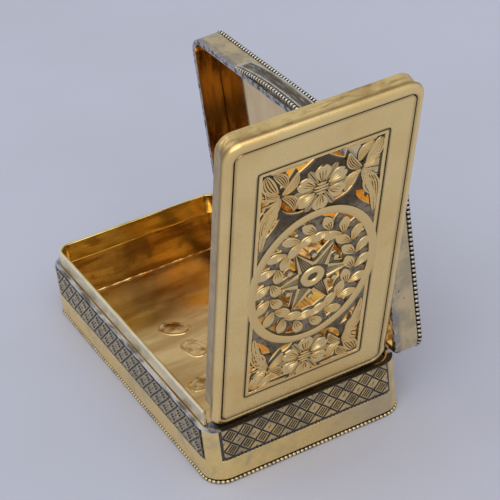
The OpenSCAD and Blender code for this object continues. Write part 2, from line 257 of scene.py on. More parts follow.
def grow(tree, mesh, **values):
    """Runs a tree on a mesh and gives the plain mesh that comes out."""
    holder = new_object("holder", mesh)
    modifier = holder.modifiers.new("grow", "NODES")
    modifier.node_group = tree
    for socket in tree.interface.items_tree:
        key = socket.name.replace(" ", "_").lower()
        if socket.in_out == "INPUT" and key in values:
            modifier[socket.identifier] = values[key]
    depsgraph = bpy.context.evaluated_depsgraph_get()
    grown = bpy.data.meshes.new_from_object(holder.evaluated_get(depsgraph))
    holder.modifiers.clear()
    bpy.data.objects.remove(holder)
    return grown


def milled_wire_tree():
    """A dirty wire along a path with bright teeth pressed across it."""
    tree, given = new_tree("milled_wire", {
        "Path": "Geometry", "Pitch": "Float", "Radius": "Float", "Notch": "Float",
        "Tooth length": "Float", "Finish": "Material", "Gap finish": "Material"})
    path = add_node(tree, "GeometryNodeMeshToCurve", {"Mesh": given["Path"]})
    core_r = add_node(tree, "ShaderNodeMath", {0: given["Radius"], 1: given["Notch"]},
                      operation="SUBTRACT")
    ring = add_node(tree, "GeometryNodeCurvePrimitiveCircle", {"Resolution": 10, "Radius": core_r})
    core = add_node(tree, "GeometryNodeCurveToMesh", {
        "Curve": path, "Profile Curve": ring, "Fill Caps": True})
    gaps = add_node(tree, "GeometryNodeStoreNamedAttribute", {
        "Geometry": core, "Name": "gap", "Value": True}, data_type="BOOLEAN", domain="FACE")
    places = add_node(tree, "GeometryNodeCurveToPoints", {
        "Curve": path, "Length": given["Pitch"]}, mode="LENGTH")
    ball = add_node(tree, "GeometryNodeMeshUVSphere", {
        "Segments": 10, "Rings": 6, "Radius": given["Radius"]})
    flat = add_node(tree, "ShaderNodeMath", {0: given["Tooth length"], 1: given["Radius"]},
                    operation="DIVIDE")
    squeeze = add_node(tree, "ShaderNodeCombineXYZ", {"X": 1.0, "Y": 1.0, "Z": flat})
    tooth = add_node(tree, "GeometryNodeTransform", {"Geometry": ball, "Scale": squeeze})
    teeth = add_node(tree, "GeometryNodeInstanceOnPoints", {
        "Points": places, "Instance": tooth, "Rotation": places.outputs["Rotation"]})
    both = add_node(tree, "GeometryNodeJoinGeometry", {0: gaps})
    tree.links.new(teeth.outputs[0], both.inputs[0])
    plain = add_node(tree, "GeometryNodeRealizeInstances", {0: both})
    bright = add_node(tree, "GeometryNodeSetMaterial", {
        "Geometry": plain, "Material": given["Finish"]})
    in_gap = add_node(tree, "GeometryNodeInputNamedAttribute", {"Name": "gap"}, data_type="BOOLEAN")
    dark = add_node(tree, "GeometryNodeSetMaterial", {
        "Geometry": bright, "Selection": in_gap, "Material": given["Gap finish"]})
    add_node(tree, "NodeGroupOutput", {0: dark})
    return tree


def repeat_tree():
    """A copy of a shape on each point, turned by the point's own angle and a little by hand."""
    tree, given = new_tree("repeat", {
        "Places": "Geometry", "Shape": "Object", "Unevenness": "Float", "Seed": "Int",
        "Finish": "Material"})
    shape = add_node(tree, "GeometryNodeObjectInfo", {"Object": given["Shape"]})
    turn = add_node(tree, "GeometryNodeInputNamedAttribute", {"Name": "turn"}, data_type="FLOAT")
    less = add_node(tree, "ShaderNodeMath", {0: given["Unevenness"], 1: -1.0}, operation="MULTIPLY")
    hand = add_node(tree, "FunctionNodeRandomValue", {
        2: less, 3: given["Unevenness"], "Seed": given["Seed"]}, data_type="FLOAT")
    angle = add_node(tree, "ShaderNodeMath", {0: turn, 1: hand.outputs[1]})
    rotation = add_node(tree, "ShaderNodeCombineXYZ", {"Z": angle})
    copies = add_node(tree, "GeometryNodeInstanceOnPoints", {
        "Points": given["Places"], "Instance": shape.outputs["Geometry"], "Rotation": rotation})
    plain = add_node(tree, "GeometryNodeRealizeInstances", {0: copies})
    painted = add_node(tree, "GeometryNodeSetMaterial", {
        "Geometry": plain, "Material": given["Finish"]})
    add_node(tree, "NodeGroupOutput", {0: painted})
    return tree


milled_wire = milled_wire_tree()
repeat_on = repeat_tree()


def repeat(shape, places, finish, unevenness=0.0, seed=1):
    """Repeats a shape on (x, y, turn) places and gives the plain mesh."""
    points = bpy.data.meshes.new("places")
    points.from_pydata([(x, y, 0) for x, y, turn in places], [], [])
    turns = points.attributes.new("turn", "FLOAT", "POINT")
    turns.data.foreach_set("value", [turn for x, y, turn in places])
    pattern = new_object("pattern", shape)
    grown = grow(repeat_on, points, shape=pattern, unevenness=unevenness, seed=seed, finish=finish)
    bpy.data.objects.remove(pattern)
    return grown


# Finishes: each is a metal with coats over it, and each coat lies where its share says

def linear(hex_colour):
    """Linear colour of an sRGB hex value."""
    parts = [int(hex_colour[i:i + 2], 16) / 255 for i in (1, 3, 5)]
    flat = [c / 12.92 if c <= 0.04045 else ((c + 0.055) / 1.055) ** 2.4 for c in parts]
    return (*flat, 1.0)


def per_mm(size):
    """Texture scale that gives features of a size in millimetres."""
    return 1 / (size * MM)


def patches(size, low, high, detail=5.0, stretch=(1, 1, 1), turn=(0, 0, 0)):
    """Share of uneven patches of a size in millimetres; stretch draws them out into streaks."""
    def share(tree, place):
        at = add_node(tree, "ShaderNodeMapping", {
            "Vector": place, "Scale": stretch, "Rotation": turn})
        cloud = add_node(tree, "ShaderNodeTexNoise", {
            "Vector": at, "Scale": per_mm(size), "Detail": detail, "Roughness": 0.58})
        return add_node(tree, "ShaderNodeMapRange", {
            "Value": cloud, "From Min": low, "From Max": high}, interpolation_type="SMOOTHSTEP")
    return share


def shaded_nooks(reach, open_sky, closed_sky):
    """Share of dirt and painted shade in corners and grooves narrower than the reach in
    millimetres.
    """
    def share(tree, place):
        sky = add_node(tree, "ShaderNodeAmbientOcclusion", {"Distance": reach * MM}, samples=8)
        return add_node(tree, "ShaderNodeMapRange", {
            "Value": sky.outputs["AO"], "From Min": open_sky, "From Max": closed_sky},
            interpolation_type="SMOOTHSTEP")
    return share


def together(*shares):
    """Share where all of several hold."""
    def share(tree, place):
        value = shares[0](tree, place)
        for other in shares[1:]:
            value = add_node(tree, "ShaderNodeMath", {0: value, 1: other(tree, place)},
                             operation="MULTIPLY")
        return value
    return share


def part_of(factor, *shares):
    """A thin coat: some part of where all of several shares hold."""
    whole = together(*shares)

    def share(tree, place):
        return add_node(tree, "ShaderNodeMath", {0: whole(tree, place), 1: factor},
                        operation="MULTIPLY")
    return share


def as_drawn(tree, place):
    """Place of a point of the case, which stays where it is."""
    return place


def turned_back(to_part):
    """Place of a point of an open part when the lid is closed or the cover lies flat."""
    back = to_part.inverted()
    turn = back.to_3x3().normalized().to_euler()

    def place_in_part(tree, place):
        return add_node(tree, "ShaderNodeMapping", {
            "Vector": place, "Rotation": turn, "Location": back.translation * MM}).outputs[0]
    return place_in_part


closed_lid = turned_back(to_lid)
flat_cover = turned_back(to_cover)


def along(axis, start, end, frame_of=as_drawn):
    """Share that runs from 0 to 1 between two places along an axis, in millimetres."""
    def share(tree, place):
        at = add_node(tree, "ShaderNodeSeparateXYZ", {0: frame_of(tree, place)})
        return add_node(tree, "ShaderNodeMapRange", {
            "Value": at.outputs[axis], "From Min": start * MM, "From Max": end * MM})
    return share


def beyond(outline, start, end, frame_of=as_drawn):
    """Share that runs from 0 to 1 between two distances outside an upright outline."""
    middle, half, radius = outline

    def share(tree, place):
        at = add_node(tree, "ShaderNodeSeparateXYZ", {0: frame_of(tree, place)})
        over = []
        for axis in (0, 1):
            off = add_node(tree, "ShaderNodeMath", {0: at.outputs[axis], 1: middle[axis] * MM},
                           operation="SUBTRACT")
            far = add_node(tree, "ShaderNodeMath", {0: off}, operation="ABSOLUTE")
            straight = (half[axis] - radius) * MM
            over.append(add_node(tree, "ShaderNodeMath", {0: far, 1: straight},
                                 operation="SUBTRACT"))
        round_x = add_node(tree, "ShaderNodeMath", {0: over[0], 1: 0.0}, operation="MAXIMUM")
        round_y = add_node(tree, "ShaderNodeMath", {0: over[1], 1: 0.0}, operation="MAXIMUM")
        corner = add_node(tree, "ShaderNodeCombineXYZ", {"X": round_x, "Y": round_y})
        reach = add_node(tree, "ShaderNodeVectorMath", {0: corner}, operation="LENGTH")
        flat = add_node(tree, "ShaderNodeMath", {0: over[0], 1: over[1]}, operation="MAXIMUM")
        within = add_node(tree, "ShaderNodeMath", {0: flat, 1: 0.0}, operation="MINIMUM")
        from_middle = add_node(tree, "ShaderNodeMath", {0: reach.outputs["Value"], 1: within})
        return add_node(tree, "ShaderNodeMapRange", {
            "Value": from_middle, "From Min": (radius + start) * MM,
            "From Max": (radius + end) * MM})
    return share


def under_outline(start, end, frame_of=as_drawn):
    """Share that runs from 0 to 1 between two depths under the outside of the box."""
    return beyond(BOX_OUTLINE, -start, -end, frame_of)


# Every finish is smeared, finely scratched and has wide shallow dents
SMEAR = 1.2
DULLEST, GLOSSIEST = 1.25, 0.8
SCRATCH = 0.12
CROSS_SCRATCH = 0.16
DENT = 2.5
DENT_WEIGHT = 9.0
RELIEF_H = 0.02


def finish(name, colour, rough, coats=(), relief=0.12):
    """A metal with coats of (share, colour, roughness, metallic) over it."""
    material = bpy.data.materials.new(name)
    material.use_nodes = True
    tree = material.node_tree
    tree.nodes.clear()
    shader = add_node(tree, "ShaderNodeBsdfPrincipled", {"Metallic": 1.0})
    add_node(tree, "ShaderNodeOutputMaterial", {"Surface": shader})
    place = add_node(tree, "ShaderNodeTexCoord").outputs["Object"]
    smear = patches(SMEAR, 0.3, 0.7, stretch=(1, 1, 0.4))(tree, place)
    tint = linear(colour)
    gloss = add_node(tree, "ShaderNodeMapRange", {
        "Value": smear, "To Min": GLOSSIEST * rough, "To Max": DULLEST * rough}).outputs[0]
    metal = 1.0
    for share_of, coat, coat_rough, coat_metal in coats:
        share = share_of(tree, place)
        tint = add_node(tree, "ShaderNodeMix", {0: share, 6: tint, 7: linear(coat)},
                        data_type="RGBA").outputs[2]
        gloss = add_node(tree, "ShaderNodeMix", {0: share, 2: gloss, 3: coat_rough}).outputs[0]
        if coat_metal < 1 or metal != 1.0:
            metal = add_node(tree, "ShaderNodeMix", {0: share, 2: metal, 3: coat_metal}).outputs[0]
    for socket, value in (("Base Color", tint), ("Roughness", gloss), ("Metallic", metal)):
        if isinstance(value, bpy.types.NodeSocket):
            tree.links.new(value, shader.inputs[socket])
    lines = patches(SCRATCH, 0.0, 1.0, detail=2.0, stretch=(1, 0.06, 0.06), turn=(0.3, 0.5, 0.9))
    across = patches(CROSS_SCRATCH, 0.0, 1.0, detail=2.0, stretch=(0.05, 1, 0.08),
                     turn=(0.2, 0.7, 0.2))
    dents = patches(DENT, 0.0, 3.0, detail=2.0)
    scratched = add_node(tree, "ShaderNodeMath", {0: lines(tree, place), 1: across(tree, place)})
    uneven = add_node(tree, "ShaderNodeMath", {0: dents(tree, place), 1: DENT_WEIGHT, 2: scratched},
                      operation="MULTIPLY_ADD")
    bump = add_node(tree, "ShaderNodeBump", {
        "Height": uneven, "Strength": relief, "Distance": RELIEF_H * MM})
    tree.links.new(bump.outputs[0], shader.inputs["Normal"])
    return material


# Where things lie on the case
panels = together(along("Z", PANEL_LOW - 0.05, PANEL_LOW), under_outline(0.05, 0.09))
ledge = along("Z", ledge_z - 0.05, ledge_z - 0.02)
inside_band = under_outline(WALL_T - 0.15, WALL_T - 0.1)
inside_rim = under_outline(WALL_T + 0.15, WALL_T + 0.25)
outside_rim = under_outline(WALL_T + 0.15, WALL_T + 0.1)
foot_of_rim = together(outside_rim, along("Z", ledge_z + 0.14, ledge_z + 0.06))
thumb_side = along("Y", -half_w + 1.5, -half_w + 0.8)
behind_corner = along("Y", -8.3, -7.9)
# By the hinge, where the ledge and the hinge bearer are painted dark as dirt and as the cover's
# shadow
shadowed_hinge_end = together(along("X", half_l - 1.5, half_l - 1.2), behind_corner)
shadowed_side_of_hinge = together(along("X", half_l - 2.5, half_l - 2.0), behind_corner)
hinge_wall = together(along("X", half_l - 0.4, half_l - 0.1), along("Y", -2.0, 7.0))

# Where things lie on the lid
inside_lid = under_outline(LID_WALL_T - 0.15, LID_WALL_T - 0.1, closed_lid)
lid_outside = along("Z", ledge_z + LID_H - 0.3, ledge_z + LID_H - 0.2, closed_lid)
lid_rim = along("Z", ledge_z + 0.08, ledge_z + 0.03, closed_lid)
lid_low = together(along("Z", ledge_z + 0.8, ledge_z + 0.45, closed_lid),
                   patches(1.0, 0.35, 0.55, detail=7.0))
# The hollow under the thumbpiece's ridge, painted dark as shade
shaded_thumb_hollow = together(along("Z", ledge_z + 0.5, ledge_z + 0.62, closed_lid),
                        along("Z", ledge_z + 1.62, ledge_z + 1.5, closed_lid),
                        along("Y", -half_w - 0.1, -half_w - 0.16, closed_lid))

# Where things lie on the cover
# Painted shade and dirt: the cuts and sunk parts under the plate's top, and the cut-down ground
shade_under_plate = together(along("Z", PLATE_TOP - 0.03, PLATE_TOP - 0.07, flat_cover),
                       along("Z", PLATE_TOP - 0.4, PLATE_TOP - 0.36, flat_cover))
shaded_ground = together(along("Z", PLATE_TOP - 0.085, PLATE_TOP - 0.1, flat_cover),
                     along("Z", PLATE_TOP - 0.25, PLATE_TOP - 0.2, flat_cover))
# The window's ends, where the ground is painted darker still as shadow
free_end = along("Y", OVAL_AT + OVAL_A - 1.5, OVAL_AT + OVAL_A - 0.5, flat_cover)
hinge_side = along("Y", OVAL_AT - OVAL_A + 1.5, OVAL_AT - OVAL_A + 0.5, flat_cover)
window_line = together(beyond(WINDOW_OUTLINE, 0.2, 0.32, flat_cover),
                       beyond(WINDOW_OUTLINE, 0.58, 0.42, flat_cover))

# Dark brown for dirt, and for painted shade and shadow
GRIME_AND_SHADE = "#2c2015"

# What several finishes share: deeper gold, dirt and painted shade in grooves and corners, the lid's
# rubbed outside
DEEPER_GOLD = (patches(5.0, 0.42, 0.66), "#f8d58e", 0.30, 1.0)
GROOVE_DIRT_AND_SHADE = (shaded_nooks(0.3, 0.8, 0.35), GRIME_AND_SHADE, 0.6, 0.3)
CORNER_DIRT_AND_SHADE = (shaded_nooks(0.35, 0.75, 0.3), GRIME_AND_SHADE, 0.6, 0.3)
LID_GOLD = ("#dfc99b", 0.30)
LID_RUBBED = [(patches(2.2, 0.42, 0.62, detail=7.0), "#bfb08e", 0.34, 1.0),
              (part_of(0.6, patches(1.5, 0.56, 0.7, detail=8.0)), "#9c9a97", 0.36, 1.0)]

# Gilding over engraving, satin pale gold: the cuts and the cut-down ground are painted darker and
# greyer, as dirt and as the shade in them, and the ground darkest at the window's ends, a painted
# shadow
ENGRAVED = [
    DEEPER_GOLD,
    (part_of(0.4, patches(3.0, 0.62, 0.75, detail=8.0)), "#d5cdb8", 0.32, 1.0),
    (shade_under_plate, "#6d6252", 0.46, 0.88),
    (shaded_ground, "#9c8e75", 0.42, 0.95),
    (together(shaded_ground, patches(0.6, 0.45, 0.62, detail=6.0)), "#6b6050", 0.48, 0.9),
    (part_of(0.8, shaded_ground, free_end), "#4d3e2a", 0.5, 0.85),
    (part_of(0.5, shaded_ground, hinge_side), "#4d3e2a", 0.5, 0.85)]
engraved_gilding = finish("engraved_gilding", "#f3d595", 0.36, ENGRAVED)
# The plate round it: the same gold, with a brown line round the window, and along its edge a brown
# band of painted shade beside the groove
plate_gilding = finish("gilding_of_the_plate", "#ffe09a", 0.27, ENGRAVED + [
    (part_of(0.8, window_line), "#6f5f47", 0.45, 0.9),
    (part_of(0.4, beyond(PLATE_OUTLINE, -0.28, -0.05, flat_cover)), "#75654a", 0.4, 0.95)])
# The edge rolled round the plate: bright on top; brown beside its groove and next to the flange,
# painted shade
edge_gilding = finish("gilding_of_the_rolled_edge", "#ffe09a", 0.27, [
    DEEPER_GOLD,
    (part_of(0.4, beyond(PLATE_OUTLINE, 0.34, 0.12, flat_cover)), "#75654a", 0.4, 0.95),
    (part_of(0.7, along("Z", 0.85, 0.62, flat_cover)), "#7a5e3c", 0.4, 1.0),
    GROOVE_DIRT_AND_SHADE])
# The cover's flange: brushed gold, browner next to the plate as painted shade, and grey on its left
# side
flange_gilding = finish("brushed_gilding_of_the_flange", "#f6d893", 0.30, [
    (patches(2.5, 0.42, 0.66, detail=7.0), "#cfac70", 0.34, 1.0),
    (part_of(0.7, patches(0.35, 0.5, 0.68, detail=4.0, stretch=(1, 0.2, 0.2))),
     "#9a7a4c", 0.38, 1.0),
    (part_of(0.6, along("X", -8.0, -8.15, flat_cover)), "#a3947c", 0.36, 1.0),
    (part_of(0.75, along("Z", 0.05, 0.45, flat_cover)), "#7d613e", 0.4, 1.0),
    GROOVE_DIRT_AND_SHADE])
# The box's outside, rubbed thinner: greyed gold with grey silver patches and a bare silver ledge,
# painted dark at the hinge's end as dirt and as the cover's shadow; dirt fills the engraved panels,
# inside the gold is a mirror with brown streaks, and dirt and painted shade lie in its nooks
band_gilding = finish("thin_gilding_of_the_band", "#fbdb92", 0.30, [
    (patches(2.5, 0.45, 0.68, detail=7.0), "#e4cb92", 0.34, 1.0),
    (part_of(0.4, patches(1.6, 0.58, 0.72, detail=8.0)), "#a9a49b", 0.36, 1.0),
    (part_of(0.55, hinge_wall), "#b3ada0", 0.33, 1.0),
    (panels, "#4b494f", 0.5, 0.5),
    (part_of(0.4, thumb_side, panels), "#7d7568", 0.5, 0.9),
    (ledge, "#cfd2df", 0.44, 1.0),
    (together(ledge, patches(0.8, 0.42, 0.64, detail=8.0, stretch=(0.35, 1, 1))),
     "#70717d", 0.44, 1.0),
    (together(ledge, shadowed_hinge_end), GRIME_AND_SHADE, 0.55, 0.4),
    # Inside, below the rim: a mirror darker and browner than the rim's, partly painted shade, with
    # brown streaks of tarnish
    (inside_band, "#d2b573", 0.13, 1.0),
    (together(inside_band, patches(0.9, 0.42, 0.62, detail=8.0, stretch=(0.15, 0.15, 1))),
     "#a37f48", 0.2, 1.0),
    (part_of(0.6, inside_band, patches(3.0, 0.52, 0.62, detail=6.0)), "#6b4d28", 0.25, 1.0),
    (part_of(0.6, shaded_nooks(0.3, 0.6, 0.2)), GRIME_AND_SHADE, 0.6, 0.3)])
# The lattice: worn gold on top, dirt down its sides; the thumbpiece's side is rubbed to grey
lattice_gilding = finish("gilding_of_the_lattice", "#e0c58e", 0.32, [
    (patches(1.8, 0.42, 0.6, detail=7.0), "#b9a680", 0.36, 1.0),
    (part_of(0.7, patches(1.2, 0.58, 0.7, detail=8.0)), "#8f8a82", 0.38, 1.0),
    (part_of(0.75, thumb_side), "#9d9789", 0.4, 1.0),
    (under_outline(0.03, 0.08), "#3d383a", 0.55, 0.4),
    (part_of(0.4, thumb_side, under_outline(0.03, 0.08)), "#7d7568", 0.5, 0.9)])
# The rim: pale, smooth and dull outside, deep and mirror-like inside, dark at its foot, with dirt
# and painted shade in its corners
rim_gilding = finish("gilding_of_the_rim", "#fff1cb", 0.36, [
    (patches(2.0, 0.5, 0.68, detail=7.0), "#eee0bb", 0.38, 1.0),
    (inside_rim, "#e6cf7c", 0.12, 1.0),
    (together(inside_rim, patches(0.8, 0.45, 0.65, detail=7.0, stretch=(0.2, 0.2, 1))),
     "#b89a4c", 0.18, 1.0),
    (part_of(0.8, foot_of_rim), GRIME_AND_SHADE, 0.5, 0.6),
    CORNER_DIRT_AND_SHADE], relief=0.05)
# The lid's walls: thin greyed gold with pits, a rim of bare silver with dark streaks; mirror
# inside; dirt and painted shade in the corners
lid_gilding = finish("thin_gilding_of_the_lid", *LID_GOLD, LID_RUBBED + [
    (patches(0.45, 0.7, 0.76, detail=3.0), "#2e251b", 0.6, 0.4),
    (part_of(0.7, lid_low), "#8d8f96", 0.36, 1.0),
    (lid_rim, "#b4b7bf", 0.32, 1.0),
    (together(lid_rim, patches(0.5, 0.45, 0.6, detail=7.0)), "#55555b", 0.42, 1.0),
    CORNER_DIRT_AND_SHADE,
    (inside_lid, "#e6c793", 0.10, 1.0),
    (together(inside_lid, patches(1.1, 0.36, 0.62, detail=8.0, stretch=(1, 1, 0.2))),
     "#806138", 0.16, 1.0)])
# The thumbpiece, held most: bright silver edges, and a hollow painted dark as the shade in it, with
# fine lines
thumb_silver = finish("rubbed_silver_of_the_thumbpiece", "#dcdad3", 0.27, [
    (part_of(0.7, patches(1.0, 0.45, 0.62, detail=7.0)), "#c3ae7c", 0.3, 1.0),
    (shaded_thumb_hollow, "#6a6152", 0.4, 0.95),
    (together(shaded_thumb_hollow, patches(0.2, 0.5, 0.66, detail=3.0, stretch=(0.12, 1, 1))),
     "#a9a191", 0.34, 1.0)])
# The lid's top: inside a mirror of yellow gold that nothing has rubbed, outside worn as its walls,
# with dirt and painted shade in its corners
lid_mirror = finish("bright_gilding_of_the_lid", "#efd29c", 0.07, [
    (part_of(0.6, patches(1.6, 0.35, 0.65, detail=8.0, stretch=(1, 1, 0.3), turn=(0, 0.12, 0))),
     "#dcbb82", 0.09, 1.0),
    (patches(0.7, 0.7, 0.78, detail=4.0), "#3a2412", 0.4, 0.6),
    (lid_outside, *LID_GOLD, 1.0)] + [
    (together(lid_outside, share), *look) for share, *look in LID_RUBBED + [CORNER_DIRT_AND_SHADE]],
    relief=0.05)
# The floor: mirror-like gold with long brown streaks of tarnish, a film of dust and dark specks,
# and painted shade along the walls and in its nooks
floor_mirror = finish("bright_gilding_of_the_floor", "#f3d18e", 0.12, [
    (part_of(0.7, patches(1.8, 0.35, 0.65, detail=8.0, stretch=(1, 0.16, 1), turn=(0, 0, 0.1))),
     "#b98a48", 0.17, 1.0),
    (patches(0.5, 0.71, 0.78, detail=4.0), "#4a3116", 0.4, 0.6),
    (part_of(0.1, patches(3.0, 0.3, 0.6)), "#b3986a", 0.6, 0.0),
    (shaded_nooks(0.5, 0.7, 0.3), "#3b2612", 0.5, 0.5)], relief=0.07)
# Fittings inside the box: bright gold, browner in patches, with dirt and painted shade in nooks
bright_gilding = finish("bright_gilding", "#efcd8c", 0.14, [
    (patches(1.5, 0.4, 0.65, detail=7.0), "#a06c26", 0.2, 1.0),
    (shaded_nooks(0.5, 0.75, 0.3), GRIME_AND_SHADE, 0.6, 0.4)])
# The cover's hinge: gilding under a crust of old dirt, painted dark also as the shadow under the
# cover, and darkest in its nooks, painted shade
grimy_gilding = finish("grimy_gilding", "#3a2c1a", 0.5, [
    (patches(0.8, 0.5, 0.7), "#6b5533", 0.4, 0.9),
    (shaded_nooks(0.8, 0.8, 0.3), "#140e09", 0.7, 0.2)])
# Silver where the gilding has gone: grey, blotched, dull; painted dark beside the hinge as dirt and
# as the cover's shadow, with dirt and painted shade in its nooks
bare_silver = finish("worn_silver", "#a5a8b1", 0.34, [
    (patches(0.8, 0.42, 0.6, detail=7.0), "#66676f", 0.42, 1.0),
    (shadowed_side_of_hinge, GRIME_AND_SHADE, 0.55, 0.4),
    (shaded_nooks(0.5, 0.8, 0.3), GRIME_AND_SHADE, 0.6, 0.3)])
# The base wire, which stands on things: dull scuffed gilding
dull_gilding = finish("scuffed_gilding", "#e6d2a2", 0.42, [
    (patches(1.5, 0.5, 0.66), "#b9ad93", 0.45, 1.0)])
# The lid's milled wires: gilding worn off the teeth down to pale silver
silvery_wire = finish("silver_of_the_milled_wire", "#d9d6cc", 0.27, [
    (patches(1.5, 0.5, 0.66), "#d9c79b", 0.3, 1.0)])
# Old dirt between the teeth of the milled wires: dull, nearly black
packed_dirt = finish("packed_dirt", "#1f170f", 0.6, [
    (patches(0.4, 0.4, 0.6), "#3d3122", 0.55, 0.7)])
# The same dirt where the box is handled: a brown film through which gold shows
thin_dirt = finish("thin_dirt", "#83704d", 0.45, [
    (patches(0.4, 0.4, 0.6), "#57482f", 0.5, 0.9)])


# Milled wires

TOOTH_PITCH = 0.45
TOOTH_HALF = 0.2
WIRE_NOTCH = 0.05
wire_l = wire_high.x - wire_low.x - wire_d
wire_w = wire_high.y - wire_low.y - wire_d
wire_corner = CORNER_R - (wire_d / 2 - (wire_high.x - half_l))


def path_mesh(points, closed, matrix):
    edges = [(i, i + 1) for i in range(len(points) - 1)]
    if closed:
        edges.append((len(points) - 1, 0))
    mesh = bpy.data.meshes.new("path")
    mesh.from_pydata([matrix @ Vector(p) for p in points], edges, [])
    return mesh


def milled_piece(name, path, diameter, body, tooth_finish, gap_finish, pitch=TOOTH_PITCH):
    grown = grow(milled_wire, path, pitch=pitch * MM, radius=diameter / 2 * MM,
                 notch=WIRE_NOTCH * MM, tooth_length=TOOTH_HALF * MM,
                 finish=tooth_finish, gap_finish=gap_finish)
    piece(name, grown, Matrix(), body, [],
          replaces=[name.replace("toothed", "milled")], sharp=60)


# The base wire is worn thinner by the surfaces it has stood on, and keeps near its outer edge
BASE_WEAR = 0.7
BASE_OUT = 0.7
BASE_PITCH = 0.4
base_d = BASE_WEAR * wire_d
base_out = BASE_OUT * (wire_d - base_d)
base_path = rounded_path(wire_l + base_out, wire_w + base_out, wire_corner + base_out / 2,
                         base_d / 2)
milled_piece("base_toothed_wire", path_mesh(base_path, True, to_case), base_d, "case",
             dull_gilding, thin_dirt, BASE_PITCH)

lid_path = rounded_path(wire_l, wire_w, wire_corner, ledge_z + LID_H - wire_d / 2)
milled_piece("lid_toothed_wire", path_mesh(lid_path, True, to_lid), wire_d, "lid",
             silvery_wire, packed_dirt)

# The thumbpiece's wire follows its bow and ends a little short of it
THUMB_L = 16.4
THUMB_OUT = 0.8
THUMB_SHORT = 0.5
THUMB_STEPS = 24
THUMB_WIRE_D = 0.4
thumb_r = (THUMB_L ** 2 / 4 + THUMB_OUT ** 2) / (2 * THUMB_OUT)
thumb_y = -half_w - THUMB_OUT + thumb_r
thumb_z = ledge_z + THUMB_WIRE_D / 2
thumb_reach = thumb_r - THUMB_WIRE_D / 2
thumb_turn = math.asin((THUMB_L / 2 - THUMB_SHORT) / thumb_r)
thumb_path = []
for i in range(THUMB_STEPS + 1):
    a = -thumb_turn + 2 * thumb_turn * i / THUMB_STEPS
    thumb_path.append((thumb_reach * math.sin(a), thumb_y - thumb_reach * math.cos(a), thumb_z))
milled_piece("thumbpiece_toothed_wire", path_mesh(thumb_path, False, to_lid), THUMB_WIRE_D, "lid",
             silvery_wire, packed_dirt)


# Engraved lattice of the sides: rows of hatched squares with plain squares between them

END_GROOVE = 0.2
LOW_GROOVE = 0.3
CELL = 1.52
CELL_GAP = 0.09
CELL_TOP = PANEL_SINK - 0.005
HINGE_NOTCH = 4.9
# Strokes of a hatched cell and the short one of a plain cell, as parts of the cell
HATCHES = 4
HATCH_W = 0.46
CELL_MARGIN = 0.8
MARGIN_BEVEL = 0.03
HATCH_BEVEL = 0.05
SHORT_CUT = 0.06
SHORT_HALF = 0.4
SHORT_BEVEL = 0.02
# Bites of the wriggled edge
WRIGGLE_PITCH = 0.35
BITE_HALF = 0.15
BITE_H = 0.12
panel_r = CORNER_R - PANEL_SINK
panel_arc = math.radians(45) - math.asin(CORNER_STRIP / 2 / panel_r)


def diamond(p, q, w, h):
    """Place in a square on its corner, from its two slanting sides."""
    return (p + q) / 2 * w, (p - q) / 2 * h


def bar(p0, p1, q0, q1, w, h, bevel):
    """A raised bar of a cell between two places along each slanting side."""
    low = [(p0, q0), (p1, q0), (p1, q1), (p0, q1)]
    top = [(p0 + bevel, q0 + bevel), (p1 - bevel, q0 + bevel),
           (p1 - bevel, q1 - bevel), (p0 + bevel, q1 - bevel)]
    points = [(*diamond(p, q, w, h), 0) for p, q in low]
    points += [(*diamond(p, q, w, h), CELL_TOP) for p, q in top]
    faces = [(7, 6, 5, 4)] + [(k + 4, (k + 1) % 4 + 4, (k + 1) % 4, k) for k in range(4)]
    return points, faces


def hatched_cell(w, h):
    """A square with slanting strokes cut into it, short of its edges."""
    step = 2 / HATCHES
    stroke = HATCH_W * step
    inner = CELL_MARGIN + MARGIN_BEVEL
    bars = [bar(-1, -CELL_MARGIN, -1, 1, w, h, MARGIN_BEVEL),
            bar(CELL_MARGIN, 1, -1, 1, w, h, MARGIN_BEVEL)]
    for k in range(HATCHES):
        start = -1 + k * step + (stroke / 2 if k else 0)
        end = -1 + (k + 1) * step - (stroke / 2 if k < HATCHES - 1 else 0)
        bars.append(bar(-inner, inner, start, end, w, h, HATCH_BEVEL))
    return as_mesh(*bars)


def plain_cell(w, h):
    """A square with a short stroke cut into its middle."""
    return as_mesh(bar(-1, 1, -1, -SHORT_CUT, w, h, HATCH_BEVEL),
                   bar(-1, 1, SHORT_CUT, 1, w, h, HATCH_BEVEL),
                   bar(-1, -SHORT_HALF, -2 * SHORT_CUT, 2 * SHORT_CUT, w, h, SHORT_BEVEL),
                   bar(SHORT_HALF, 1, -2 * SHORT_CUT, 2 * SHORT_CUT, w, h, SHORT_BEVEL))


def wriggle_tooth():
    """One bite of the wriggled edge along the lower groove."""
    low = [(-1, 0), (1, 0), (0.5, 1), (-0.5, 1)]
    top = [(-0.8, 0), (0.8, 0), (0.3, 0.7), (-0.3, 0.7)]
    points = [(BITE_HALF * x, BITE_H * y, 0) for x, y in low]
    points += [(BITE_HALF * x, BITE_H * y, CELL_TOP) for x, y in top]
    faces = [(4, 5, 6, 7), (1, 2, 6, 5), (2, 3, 7, 6), (3, 0, 4, 7)]
    return as_mesh((points, faces))


def clipped(mesh, low, high):
    """Cuts off what reaches past a panel's field."""
    bm = bmesh.new()
    bm.from_mesh(mesh)
    for axis in (0, 1):
        direction = Vector((1 - axis, axis, 0))
        for limit, side in ((low[axis], -1), (high[axis], 1)):
            done = bmesh.ops.bisect_plane(
                bm, geom=all_of(bm), dist=1e-5, plane_co=limit * direction,
                plane_no=side * direction, clear_outer=True)
            cut = [e for e in done["geom_cut"] if isinstance(e, bmesh.types.BMEdge)]
            bmesh.ops.edgenet_fill(bm, edges=[e for e in cut if e.is_boundary])
    bm.to_mesh(mesh)
    bm.free()
    return mesh


